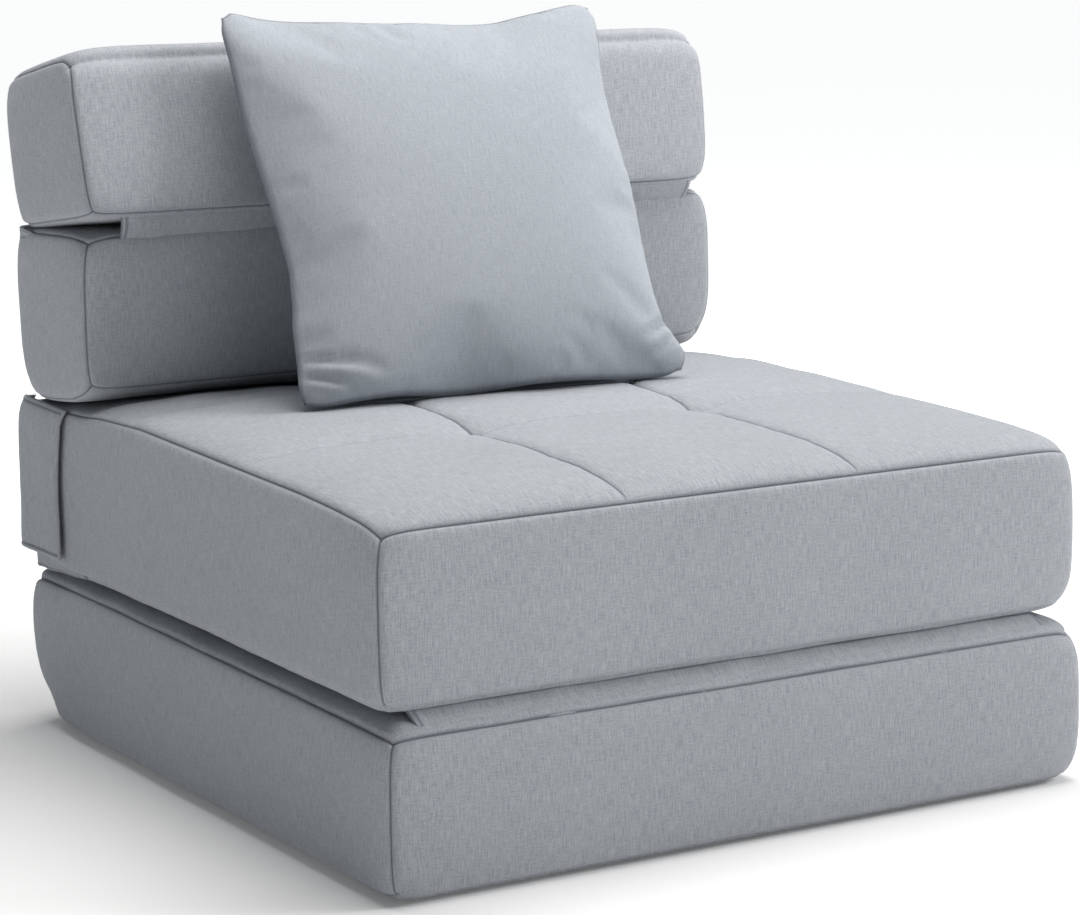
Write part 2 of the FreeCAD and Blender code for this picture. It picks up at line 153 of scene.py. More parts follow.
def weave_fabric(name, colour, pitch=0.0009, slub=1.0, bump=0.35):
    """Plain weave with slubs: warp runs along V, weft along U, both in metres."""
    mat, tree, bsdf = shader(name, 0.86)
    uv = tree.nodes.new("ShaderNodeUVMap")
    uv.uv_map = "weave"
    vec = uv.outputs["UV"]
    sep = tree.nodes.new("ShaderNodeSeparateXYZ")
    tree.links.new(vec, sep.inputs[0])
    drift = noise2(tree, vec, 60, 60, 1.0)
    wander = maths(tree, "MULTIPLY", maths(tree, "SUBTRACT", drift, 0.5), 1.6)
    su = maths(tree, "SINE", maths(tree, "ADD", maths(tree, "MULTIPLY", sep.outputs[0], math.pi / pitch), wander))
    sv = maths(tree, "SINE", maths(tree, "ADD", maths(tree, "MULTIPLY", sep.outputs[1], math.pi / pitch), wander))
    over = ranged(tree, maths(tree, "MULTIPLY", su, sv), -0.12, 0.12, 0.0, 1.0, True)
    warp, weft = maths(tree, "ABSOLUTE", su), maths(tree, "ABSOLUTE", sv)
    height = maths(tree, "ADD", maths(tree, "MULTIPLY", warp, over),
                   maths(tree, "MULTIPLY", weft, maths(tree, "SUBTRACT", 1.0, over)))
    # thick and thin places in the threads
    warp_slub = noise2(tree, vec, 880, 62, 2.0, 0.6)
    weft_slub = noise2(tree, vec, 84, 880, 2.0, 0.6)
    warp_fine = noise2(tree, vec, 1500, 420, 1.0, 0.5)
    weft_fine = noise2(tree, vec, 420, 1500, 1.0, 0.5)
    slubs = maths(tree, "ADD", maths(tree, "ADD", maths(tree, "MULTIPLY", warp_slub, 1.0), maths(tree, "MULTIPLY", weft_slub, 0.6)),
                  maths(tree, "MULTIPLY", maths(tree, "ADD", warp_fine, weft_fine), 0.45))
    streak = ranged(tree, slubs, 0.97, 1.53, 0.0, 1.0)
    r, g, b = colour
    dark = (r * (1 - 0.20 * slub), g * (1 - 0.19 * slub), b * (1 - 0.175 * slub), 1)
    light = (min(1, r * (1 + 0.20 * slub)), min(1, g * (1 + 0.19 * slub)), min(1, b * (1 + 0.18 * slub)), 1)
    base = mixed(tree, streak, dark, light)
    # slow cloudiness from handling and dye
    cloud = ranged(tree, noise2(tree, vec, 6, 6, 3.0, 0.55), 0.3, 0.7, 0.975, 1.02)
    cloud_rgb = tree.nodes.new("ShaderNodeCombineColor")
    for i in range(3):
        tree.links.new(cloud, cloud_rgb.inputs[i])
    base = mixed(tree, 1.0, base, cloud_rgb.outputs[0], "MULTIPLY")
    # painted shade: the gaps between the threads, low in the weave's height, are darkened, and the thread tops are a
    # little lightened
    gap_shade = ranged(tree, height, 0.15, 0.9, 0.80, 1.04)
    gap_shade_rgb = tree.nodes.new("ShaderNodeCombineColor")
    for i in range(3):
        tree.links.new(gap_shade, gap_shade_rgb.inputs[i])
    base = mixed(tree, 1.0, base, gap_shade_rgb.outputs[0], "MULTIPLY")
    # sewn lines darken the colour, and so does a painted contact shade along the rims of the hinge bands
    seam = tree.nodes.new("ShaderNodeAttribute")
    seam.attribute_name = "seam"
    base = mixed(tree, maths(tree, "MULTIPLY", seam.outputs["Fac"], 0.88), base, (r * 0.26, g * 0.27, b * 0.30, 1))
    tree.links.new(base, bsdf.inputs["Base Color"])
    rough = ranged(tree, streak, 0.0, 1.0, 0.92, 0.80)
    tree.links.new(rough, bsdf.inputs["Roughness"])
    bsdf.inputs["Specular IOR Level"].default_value = 0.25
    bsdf.inputs["Sheen Weight"].default_value = 0.22
    bsdf.inputs["Sheen Roughness"].default_value = 0.45
    bsdf.inputs["Sheen Tint"].default_value = (0.90, 0.94, 1.0, 1)
    relief = maths(tree, "ADD", maths(tree, "MULTIPLY", height, 0.6), maths(tree, "MULTIPLY", slubs, 0.7))
    bump_node = tree.nodes.new("ShaderNodeBump")
    bump_node.inputs["Strength"].default_value = bump
    bump_node.inputs["Distance"].default_value = 0.0003
    tree.links.new(relief, bump_node.inputs["Height"])
    tree.links.new(bump_node.outputs["Normal"], bsdf.inputs["Normal"])
    return mat


FABRIC = (0.384, 0.406, 0.434)
fabric = weave_fabric("cover_linen_weave", FABRIC)
pillow_fabric = weave_fabric("pillow_linen_weave", tuple(c * k for c, k in zip(FABRIC, (1.01, 1.03, 1.05))), pitch=0.0008, slub=0.6)


def object_coords(tree):
    return tree.nodes.new("ShaderNodeTexCoord").outputs["Object"]


def noise3(tree, vector, scale, detail=2.0):
    t = tree.nodes.new("ShaderNodeTexNoise")
    t.inputs["Scale"].default_value = scale
    t.inputs["Detail"].default_value = detail
    tree.links.new(vector, t.inputs["Vector"])
    return t.outputs["Fac"]


def simple(name, dark, light, scale, rough=(0.5, 0.7), bump=0.2, distance=0.0003, metallic=0.0, detail=3.0):
    mat, tree, bsdf = shader(name)
    vec = object_coords(tree)
    fac = noise3(tree, vec, scale, detail)
    spread = ranged(tree, fac, 0.3, 0.7, 0.0, 1.0)
    tree.links.new(mixed(tree, spread, (*dark, 1), (*light, 1)), bsdf.inputs["Base Color"])
    tree.links.new(ranged(tree, fac, 0.3, 0.7, rough[0], rough[1]), bsdf.inputs["Roughness"])
    bsdf.inputs["Metallic"].default_value = metallic
    b = tree.nodes.new("ShaderNodeBump")
    b.inputs["Strength"].default_value = bump
    b.inputs["Distance"].default_value = distance
    tree.links.new(fac, b.inputs["Height"])
    tree.links.new(b.outputs["Normal"], bsdf.inputs["Normal"])
    return mat


zip_tape_mat = simple("zip_tape_knit", (0.20, 0.22, 0.24), (0.27, 0.29, 0.31), 900.0, (0.8, 0.95), 0.5)
zip_teeth_mat = simple("zip_teeth_nylon", (0.26, 0.28, 0.30), (0.32, 0.34, 0.36), 120.0, (0.35, 0.5), 0.1)
zip_metal_mat = simple("zip_metal_nickel", (0.50, 0.50, 0.51), (0.62, 0.62, 0.63), 260.0, (0.22, 0.38), 0.08, metallic=1.0)
hook_mat = simple("hook_tape_nylon", (0.10, 0.11, 0.12), (0.30, 0.32, 0.34), 1400.0, (0.4, 0.6), 0.9, 0.0006, detail=1.0)
loop_mat = simple("loop_tape_brushed", (0.16, 0.17, 0.18), (0.30, 0.32, 0.34), 700.0, (0.9, 1.0), 0.8, 0.0006)


def non_slip():
    """Dark cloth with small rubber dots."""
    mat, tree, bsdf = shader("non_slip_dots", 0.85)
    vec = object_coords(tree)
    sep = tree.nodes.new("ShaderNodeSeparateXYZ")
    tree.links.new(vec, sep.inputs[0])
    pitch = 0.009
    dots = []
    for out in (sep.outputs[0], sep.outputs[1]):
        dots.append(maths(tree, "COSINE", maths(tree, "MULTIPLY", out, 2 * math.pi / pitch)))
    dot = ranged(tree, maths(tree, "ADD", dots[0], dots[1]), 0.9, 1.3, 0.0, 1.0, True)
    cloth = noise3(tree, vec, 800.0)
    base = mixed(tree, ranged(tree, cloth, 0.3, 0.7, 0.0, 1.0), (0.018, 0.018, 0.020, 1), (0.045, 0.045, 0.048, 1))
    tree.links.new(mixed(tree, dot, base, (0.012, 0.012, 0.013, 1)), bsdf.inputs["Base Color"])
    tree.links.new(ranged(tree, dot, 0, 1, 0.9, 0.45), bsdf.inputs["Roughness"])
    b = tree.nodes.new("ShaderNodeBump")
    b.inputs["Strength"].default_value = 0.7
    b.inputs["Distance"].default_value = 0.0006
    tree.links.new(maths(tree, "ADD", dot, maths(tree, "MULTIPLY", cloth, 0.3)), b.inputs["Height"])
    tree.links.new(b.outputs["Normal"], bsdf.inputs["Normal"])
    return mat


non_slip_mat = non_slip()


# --------------------------------------------------------------- mesh tools
def waves(points, length, seed, count=8):
    """Smooth wandering values of about unit size, from a few sine waves."""
    g = np.random.default_rng(seed)
    d = g.normal(size=(count, 3))
    d /= np.linalg.norm(d, axis=1)[:, None]
    k = 2 * np.pi / length * g.uniform(0.65, 1.45, count)
    phase = g.uniform(0, 2 * np.pi, count)
    return np.sin(points @ (d * k[:, None]).T + phase).sum(1) / math.sqrt(count)


def curve(x, knots, blur=0.02):
    """A smooth line through knots (x, value)."""
    kx, kv = zip(*knots)
    grid = np.linspace(kx[0] - 0.1, kx[-1] + 0.1, 800)
    raw = np.interp(grid, kx, kv)
    step = grid[1] - grid[0]
    n = max(1, int(3 * blur / step))
    kernel = np.exp(-0.5 * ((np.arange(-n, n + 1) * step) / blur) ** 2)
    kernel /= kernel.sum()
    smooth = np.convolve(np.pad(raw, n, mode="edge"), kernel, mode="valid")
    return np.interp(x, grid, smooth)


FINE = (0, 0.0008, 0.0017, 0.0029, 0.0045, 0.007, 0.0105, 0.015, 0.021, 0.029)
CHANNEL = (0, 0.0010, 0.0022, 0.0038, 0.0062, 0.010, 0.016)


def lines(low, high, step=0.011, stops=()):
    """Grid positions from low to high, close together at the ends and round the stops."""
    marks = [low, *stops, high]
    out = []
    for i in range(len(marks) - 1):
        a, b = marks[i], marks[i + 1]
        fa = FINE if i == 0 else CHANNEL
        fb = FINE if i == len(marks) - 2 else CHANNEL
        start, end = [a + f for f in fa], [b - f for f in fb][::-1]
        gap = end[0] - start[-1]
        n = max(1, int(round(gap / step)))
        out += start + [start[-1] + gap * k / n for k in range(1, n)] + end[:-1]
    return np.array(out + [high])


def lattice(xs, ys, zs):
    """The surface of a box lattice: corner points, quads and the side of each quad
    (0 and 1 for -X and +X, 2 and 3 for Y, 4 and 5 for Z)."""
    nx, ny, nz = len(xs), len(ys), len(zs)
    index = -np.ones((nx, ny, nz), int)
    edge = np.zeros((nx, ny, nz), bool)
    edge[0], edge[-1] = True, True
    edge[:, 0], edge[:, -1] = True, True
    edge[:, :, 0], edge[:, :, -1] = True, True
    where = np.argwhere(edge)
    index[edge] = np.arange(len(where))
    points = np.stack([xs[where[:, 0]], ys[where[:, 1]], zs[where[:, 2]]], 1)
    quads, sides = [], []

    def grid(a, face, flip):
        q = np.stack([a[:-1, :-1], a[:-1, 1:], a[1:, 1:], a[1:, :-1]], -1).reshape(-1, 4)
        quads.append(q[:, ::-1] if flip else q)
        sides.append(np.full(len(q), face))

    grid(index[0], 0, False)
    grid(index[-1], 1, True)
    grid(index[:, 0], 2, True)
    grid(index[:, -1], 3, False)
    grid(index[:, :, 0], 4, False)
    grid(index[:, :, -1], 5, True)
    return points, np.concatenate(quads), np.concatenate(sides)


def make(name, points, quads, uv=None, seam=None, material=None, faces=None):
    """A smooth mesh object. uv is per corner of each quad, in metres."""
    mesh = bpy.data.meshes.new(name)
    mesh.from_pydata([tuple(p) for p in points], [], [tuple(int(i) for i in q) for q in (quads if faces is None else faces)])
    mesh.polygons.foreach_set("use_smooth", np.ones(len(mesh.polygons), bool))
    if uv is not None:
        layer = mesh.uv_layers.new(name="weave")
        layer.data.foreach_set("uv", np.asarray(uv, np.float32).ravel())
    if seam is not None:
        att = mesh.attributes.new("seam", "FLOAT", "POINT")
        att.data.foreach_set("value", np.asarray(seam, np.float32))
    mesh.update()
    ob = bpy.data.objects.new(name, mesh)
    scene.collection.objects.link(ob)
    if material is not None:
        mesh.materials.append(material)
    return ob


def box_uv(points, quads, sides):
    """Weave directions: threads run up the sides, and front to back on the top."""
    pairs = {0: (1, 2), 1: (1, 2), 2: (0, 2), 3: (0, 2), 4: (0, 1), 5: (0, 1)}
    uv = np.zeros((len(quads), 4, 2))
    for s, (a, b) in pairs.items():
        pick = sides == s
        uv[pick] = points[quads[pick]][:, :, [a, b]] + (0.37 * s, 0.91 * s)
    return uv


SIDES = ("-x", "+x", "-y", "+y", "-z", "+z")


class Block:
    """A foam block in its cover. corners holds the eight places (mm: across from the
    left end, back from the front of the base, up) where its edges would meet if they
    ran straight on: keys are left or right, front or rear, bottom or top."""

    def __init__(self, corners, radius=0.008, groove=0.0010, stops=((), (), ()), step=0.011, seed=1, no_seam=(),
                 tucked=0.0, draw=None, roll=0.0025):
        order = [a + b + c for a in "lr" for b in "fr" for c in "bt"]
        self.corner = np.array([corners[k] for k in order], float) / 1000.0
        c = self.corner
        dims = np.array([np.linalg.norm(c[4:] - c[:4], axis=1).mean(),
                         np.linalg.norm(c[[2, 3, 6, 7]] - c[[0, 1, 4, 5]], axis=1).mean(),
                         np.linalg.norm(c[1::2] - c[::2], axis=1).mean()])
        self.dims, self.seed, self.radius = dims, seed, radius
        out = radius * (1 - math.sqrt(0.5)) + groove * 0.6
        self.low, self.high = np.zeros(3) - out, dims + out
        self.out = out
        self.xs, self.ys, self.zs = (lines(self.low[i], self.high[i], step, stops[i]) for i in range(3))
        self.flat, self.quads, self.sides = lattice(self.xs, self.ys, self.zs)
        p, r = self.flat, radius
        core = np.clip(p, self.low + r, self.high - r)
        d = p - core
        self.normal = d / np.linalg.norm(d, axis=1)[:, None]
        self.pos = core + self.normal * r
        self.on = on = [np.isclose(p[:, i // 2], (self.low, self.high)[i % 2][i // 2]) for i in range(6)]
        near = np.full(len(p), 9.0)
        for i in range(6):
            for j in range(i + 1, 6):
                a, b = i // 2, j // 2
                if a == b or (SIDES[i], SIDES[j]) in no_seam:
                    continue
                for face, other in ((i, j), (j, i)):
                    axis = other // 2
                    t = np.abs(p[:, axis] - (self.low, self.high)[other % 2][axis])
                    s = np.where(t < r, r * (math.pi / 4 - np.arctan2(np.maximum(r - t, 0), r)), r * math.pi / 4 + t - r)
                    if tucked and 4 in (i, j):
                        # this seam lies under the block, not on its edge
                        s = np.abs(t - tucked) if face == 4 else tucked + t
                    near = np.where(on[face], np.minimum(near, s), near)
        self.near = near
        self.seam = np.exp(-(near / 0.00085) ** 2)
        self.pos += self.normal * (roll * (1 - np.exp(-near / 0.010)) - groove * np.exp(-(near / 0.0014) ** 2))[:, None]
        self.pos += self.normal * (0.0002 * np.exp(-near / 0.008) * (1 - np.exp(-(near / 0.0015) ** 2))
                                   * waves(p, 0.022, seed + 5))[:, None]
        self.pos += self.normal * (0.0006 * (1 - np.exp(-near / 0.04)) * waves(p, 0.17, seed + 9))[:, None]
        # the corners draw in
        draw = draw or {}
        for k, name in enumerate(order):
            amount, reach = draw.get(name, draw.get("all", (0.005, 0.020)))
            at = np.where([name[0] == "r", name[1] == "r", name[2] == "t"], self.high, self.low)
            sign = np.where([name[0] == "r", name[1] == "r", name[2] == "t"], 1.0, -1.0)
            s = np.linalg.norm(p - at, axis=1)
            self.pos -= sign * (amount * np.exp(-(s / reach) ** 1.25))[:, None]

    def unit(self, axis):
        return 2 * (self.flat[:, axis] - self.low[axis]) / (self.high[axis] - self.low[axis]) - 1

    def depth(self, side):
        i = SIDES.index(side)
        return np.abs(self.flat[:, i // 2] - (self.low, self.high)[i % 2][i // 2])

    def crown(self, side, height, powers=(6, 3), edge=0.0):
        """Lets one side bulge by height in its middle; edge is the share of it at the upright seams."""
        i = SIDES.index(side)
        axis, sign = i // 2, (-1, 1)[i % 2]
        a, b = [k for k in range(3) if k != axis]
        u, v = self.unit(a), self.unit(b)
        if axis == 2:
            shape = (1 - np.abs(u) ** powers[0]) * (1 - np.abs(v) ** powers[1])
        else:
            shape = (1 - np.abs(v) ** powers[1]) * (edge + (1 - edge) * (1 - np.abs(u) ** powers[0]))
        self.pos[:, axis] += sign * height * shape * np.exp(-self.depth(side) / 0.03)
        return self

    def soften(self, side_a, side_b, size):
        """Rounds the edge between two sides to the given radius."""
        ia, ib = SIDES.index(side_a), SIDES.index(side_b)
        xa, xb = ia // 2, ib // 2
        la, lb = (self.low, self.high)[ia % 2][xa], (self.low, self.high)[ib % 2][xb]
        sa, sb = (1, -1)[ia % 2], (1, -1)[ib % 2]
        da, db = (self.pos[:, xa] - la) * sa, (self.pos[:, xb] - lb) * sb
        u, v = np.clip(1 - da / size, 0, None), np.clip(1 - db / size, 0, None)
        h = np.hypot(u, v)
        f = np.where((u > 0) & (v > 0), np.maximum(u, v) / np.where(h > 0, h, 1), 1)
        self.pos[:, xa] = np.where(u > 0, la + sa * size * (1 - u * f), self.pos[:, xa])
        self.pos[:, xb] = np.where(v > 0, lb + sb * size * (1 - v * f), self.pos[:, xb])
        return self

    def placed(self, pos=None):
        """Out of the block's own box and into the frame."""
        t = (self.pos if pos is None else pos) / self.dims
        out = np.zeros_like(t)
        for k in range(8):
            a, b, c = k >> 2 & 1, k >> 1 & 1, k & 1
            w = (t[:, 0] if a else 1 - t[:, 0]) * (t[:, 1] if b else 1 - t[:, 1]) * (t[:, 2] if c else 1 - t[:, 2])
            out += w[:, None] * self.corner[k]
        return out + (-0.375, -FRONT, 0)

    def fit_y(self):
        """Distance behind the front of the base, in metres."""
        start, end = self.corner[[0, 1, 4, 5], 1].mean(), self.corner[[2, 3, 6, 7], 1].mean()
        return start + (self.flat[:, 1] / self.dims[1]) * (end - start)

    def height(self):
        return np.clip((self.flat[:, 2] - self.low[2]) / (self.high[2] - self.low[2]), 0, 1)

    def object(self, name, material):
        return make(name, self.placed(), self.quads, box_uv(self.flat, self.quads, self.sides), self.seam, material)


# ------------------------------------------------------------------ base block
base = Block({"lfb": (0, 2, 7), "lft": (0, 0, 150.5), "rfb": (761, 2, 7), "rft": (759, 0, 152),
              "lrb": (0, 812, 7), "lrt": (0, 826, 158.5), "rrb": (755, 812, 7), "rrt": (753, 826, 158)},
             seed=11, tucked=0.012,
             draw={"lfb": (0.004, 0.015), "lft": (0.0035, 0.014), "rfb": (0.006, 0.017), "rft": (0.0065, 0.016),
                   "lrb": (0.016, 0.034), "lrt": (0.005, 0.018), "rrb": (0.016, 0.034), "rrt": (0.007, 0.020)})
for side in ("-x", "+x", "-y", "+y"):
    base.soften(side, "-z", 0.009 if side in ("-y", "+x") else 0.013)
base.crown("-y", 0.004, edge=0.6).crown("+y", 0.0055, edge=0.5)
base.crown("-x", 0.0055, edge=0.6).crown("+x", 0.0055, edge=0.6)
inward = np.minimum.reduce([base.depth(s) for s in ("-x", "+x", "-y", "+y")])
base.pos[:, 2] += np.where(base.on[5], 0.0070 * (1 - np.exp(-inward / 0.014)) + 0.0005 * waves(base.flat, 0.11, 17), 0)
y_fit = base.fit_y()
base.pos[:, 2] += np.where(base.on[5], 0.0060 * (1 - np.exp(-inward / 0.020)) * np.exp(-base.depth("-y") / 0.10), 0)
base.pos[:, 2] += base.height() * curve(y_fit, ((0, 0.0), (0.15, 0.0012), (0.6, 0.0018), (0.82, 0.0)))
base_ob = base.object("base_block_cover", fabric)

# ------------------------------------------------------------------ seat block
seat_corners = {"lfb": (0, 15, 176), "lft": (0, 15, 332), "rfb": (762, 15, 177), "rft": (760, 15, 331),
                "lrb": (5.2, 835, 181), "lrt": (5.2, 838, 345), "rrb": (748, 835, 180), "rrt": (748, 838, 344)}
seat = Block(seat_corners, seed=23, stops=((0.250, 0.503), (0.275, 0.550), ()), step=0.010, tucked=0.009,
             draw={"lfb": (0.004, 0.015), "lft": (0.0065, 0.016), "rfb": (0.007, 0.017), "rft": (0.005, 0.014),
                   "lrb": (0.006, 0.020), "lrt": (0.005, 0.018), "rrb": (0.010, 0.024), "rrt": (0.007, 0.018)})
for side in ("-x", "+x", "-y", "+y"):
    seat.soften(side, "-z", 0.009)
y_fit = seat.fit_y()
before = seat.pos.copy()
seat.crown("-x", 0.0055, edge=0.6).crown("+x", 0.0055, edge=0.6)
calm = np.clip((0.715 - y_fit) / 0.25, 0, 1)
calm = (calm * calm * (3 - 2 * calm))[:, None]
seat.pos = before + (seat.pos - before) * calm
seat.crown("-y", 0.004, edge=0.6).crown("+y", 0.0015)
inward = np.minimum.reduce([seat.depth(s) for s in ("-x", "+x", "-y", "+y")])
seat.pos[:, 2] -= np.where(seat.on[4], 0.0040 * (1 - np.exp(-inward / 0.012)) - 0.0004 * waves(seat.flat, 0.11, 19), 0)
rise = curve(y_fit, ((0.0, 0.0), (0.015, 0.0), (0.041, 0.0045), (0.10, 0.0085), (0.17, 0.0112), (0.30, 0.0125), (0.39, 0.0135),
                     (0.53, 0.0152), (0.63, 0.0110), (0.685, 0.0062), (0.76, 0.003), (0.84, 0.0)), 0.010)
sag = curve(y_fit, ((0.015, 0.0), (0.06, 0.0), (0.20, 0.0005), (0.40, 0.0015), (0.62, 0.001), (0.76, -0.003), (0.84, 0.0)))
seat.pos[:, 2] += seat.height() * rise + (1 - seat.height()) * sag

# quilted top: three by three pads between sewn lines
fx, fy = seat.flat[:, 0], seat.flat[:, 1]
THIRD_X, THIRD_Y = (0.250, 0.503), (0.275, 0.550)
on_top = seat.on[5]


def pads(v, stops):
    """0 at each stop, 1 half way between two of them."""
    out = np.zeros(len(v))
    for a, b in zip(stops[:-1], stops[1:]):
        inside = (v >= a) & (v <= b)
        t = np.abs(2 * (v - a) / (b - a) - 1)
        out = np.where(inside, 1 - t ** 3, out)
    return out


stops_x = (seat.low[0], *THIRD_X, seat.high[0])
stops_y = (seat.low[1], *THIRD_Y, seat.high[1])
edge_x = np.minimum(fx - seat.low[0], seat.high[0] - fx)
edge_y = np.minimum(fy - seat.low[1], seat.high[1] - fy)
lift = (1 - np.exp(-edge_x / 0.022)) * (1 - np.exp(-edge_y / 0.018))
u_top = np.abs(seat.unit(0))
dome = curve(y_fit, ((0.015, 0.0085), (0.05, 0.0100), (0.12, 0.0125), (0.20, 0.0125), (0.29, 0.0125), (0.34, 0.0165), (0.39, 0.0170),
                     (0.456, 0.0140), (0.56, 0.0105), (0.64, 0.0085), (0.69, 0.0040), (0.74, 0.0030), (0.84, 0.0020)), 0.012)
dome = dome * (0.42 + 0.58 * (1 - u_top ** 2.6))
cross_pad = 0.0030 * pads(fx, stops_x)
near_x = np.min([np.abs(fx - s) for s in THIRD_X], axis=0)
near_y = np.min([np.abs(fy - s) for s in THIRD_Y], axis=0)
tie = np.hypot(near_x, near_y * 0.8)
top = lift * (dome + cross_pad)
top -= lift * (0.0018 * np.exp(-(near_x / 0.0070) ** 2) + 0.0020 * np.exp(-near_x / 0.0020))
top -= lift * (0.0020 * np.exp(-(near_y / 0.018) ** 2) + 0.0009 * np.exp(-near_y / 0.0022))
top -= lift * 0.0085 * np.exp(-(tie / 0.026) ** 1.15)
top += lift * 0.0006 * waves(seat.flat, 0.09, 31)
# small gathers that run out from the sewn lines
top += lift * 0.00035 * np.exp(-np.minimum(near_x, near_y) / 0.014) * np.clip(near_x / 0.002, 0, 1) * waves(seat.flat, 0.024, 33)
seat.pos[:, 2] += np.where(on_top, top, 0)
line_x = 0.0014 * waves(np.stack([fy * 0, fy, fy * 0], 1), 0.30, 35)
seat.pos[:, 0] += np.where(on_top, line_x * np.exp(-(near_x / 0.03) ** 2) * lift, 0)
fade = np.clip(edge_y / 0.010, 0, 1) * np.clip(edge_x / 0.010, 0, 1)
top_seam = np.maximum(np.exp(-(near_x / 0.0014) ** 2), 0.30 * np.exp(-(near_y / 0.0009) ** 2)) * fade

# the top panel is a pad of its own; the block below it ends under the pad
is_top = seat.sides == 5
top_quads = seat.quads[is_top]
used = np.unique(top_quads)
where = -np.ones(len(seat.pos), int)
where[used] = np.arange(len(used))
border = (edge_x[used] < 1e-6) | (edge_y[used] < 1e-6)
lower_index = np.where(border, np.arange(len(used)), -1)
free = np.where(~border)[0]
lower_index[free] = len(used) + np.arange(len(free))
sink = np.zeros((len(used), 3))
sink[:, 2] = 0.0065 * (1 - np.exp(-np.minimum(edge_x, edge_y)[used] / 0.004))
pad_points = np.concatenate([seat.pos[used], (seat.pos[used] - sink)[free]])
q_up = where[top_quads]
q_down = lower_index[q_up][:, ::-1]
uv_up = box_uv(seat.flat, top_quads, np.full(len(top_quads), 5))
seam_up = np.maximum(seat.seam, np.where(on_top, top_seam, 0))[used]
quilt_ob = make("seat_quilted_panel", seat.placed(pad_points), np.concatenate([q_up, q_down]),
                np.concatenate([uv_up, uv_up[:, ::-1]]), np.concatenate([seam_up, seam_up[free]]), fabric)
body_pos = seat.pos.copy()
body_pos[:, 2] -= np.where(on_top, 0.0085 * (1 - np.exp(-np.minimum(edge_x, edge_y) / 0.004)), 0)
seat_ob = make("seat_block_cover", seat.placed(body_pos), seat.quads, box_uv(seat.flat, seat.quads, seat.sides), seat.seam, fabric)

# ------------------------------------------------------------ lower back block
lower = Block({"lfb": (0, 651, 381), "lft": (0, 649, 537.5), "rfb": (755, 651, 379), "rft": (752, 649, 541),
               "lrb": (1, 822, 359), "lrt": (0, 829, 531), "rrb": (752, 822, 358), "rrt": (750, 829, 532)},
              seed=37, roll=0.0018,
              draw={"lfb": (0.005, 0.017), "lft": (0.0075, 0.020), "rfb": (0.009, 0.021), "rft": (0.006, 0.017),
                    "lrb": (0.006, 0.022), "lrt": (0.004, 0.016), "rrb": (0.009, 0.024), "rrt": (0.006, 0.018)})
lower.crown("-y", 0.0032, edge=0.3).crown("+y", 0.0045, edge=0.3)
lower.crown("-x", 0.0055, (3, 3), edge=0.35).crown("+x", 0.0055, (3, 3), edge=0.35)
lower.crown("+z", 0.0035, (7, 3))
y_fit = lower.fit_y()
lower.pos[:, 2] += (1 - lower.height()) * curve(y_fit, ((0.640, 0.001), (0.652, 0.0), (0.668, -0.0055), (0.700, -0.0090), (0.75, -0.0075),
                                                        (0.801, -0.004), (0.825, 0.0)), 0.006)
lower_ob = lower.object("lower_back_block_cover", fabric)

# ------------------------------------------------------------ upper back block
upper = Block({"lfb": (0, 628, 563), "lft": (0, 670, 719), "rfb": (740, 628, 558), "rft": (756, 670, 714),
               "lrb": (-1, 811, 539), "lrt": (-1, 842, 689), "rrb": (740, 811, 538), "rrt": (752, 842, 686)},
              seed=53, no_seam=(("-y", "+z"),), roll=0.0018,
              draw={"lfb": (0.004, 0.016), "lft": (0.004, 0.018), "rfb": (0.006, 0.017), "rft": (0.006, 0.016),
                    "lrb": (0.003, 0.014), "lrt": (0.005, 0.018), "rrb": (0.006, 0.018), "rrt": (0.006, 0.017)})
upper.crown("-y", 0.0032, edge=0.3).crown("+y", 0.0045, edge=0.3)
upper.crown("-x", 0.0055, (3, 3), edge=0.35).crown("+x", 0.0055, (3, 3), edge=0.35)
inward_x = np.minimum(upper.depth("-x"), upper.depth("+x"))
inward_y = np.minimum(upper.depth("-y"), upper.depth("+y"))
upper.pos[:, 2] += upper.height() ** 3 * (0.0085 * (1 - np.exp(-inward_x / 0.016)) * (1 - np.exp(-(upper.depth("+y") + 0.004) / 0.030)))
upper.soften("-y", "+z", 0.024)
upper.crown("-z", 0.003, (7, 3))
upper_ob = upper.object("upper_back_block_cover", fabric)


# --------------------------------------------------------- strips of fabric
def along(path, step=0.002):
    """Points about step apart on a smooth line through path."""
    path = np.array(path, float)
    t = np.concatenate([[0], np.cumsum(np.linalg.norm(np.diff(path, axis=0), axis=1))])
    n = max(8, int(t[-1] / step))
    fine = np.linspace(0, t[-1], n + 1)
    raw = np.stack([np.interp(fine, t, path[:, k]) for k in range(path.shape[1])], 1)
    for _ in range(max(2, int(0.004 / step) ** 2 * 3)):
        raw[1:-1] = raw[1:-1] * 0.5 + (raw[:-2] + raw[2:]) * 0.25
    return raw


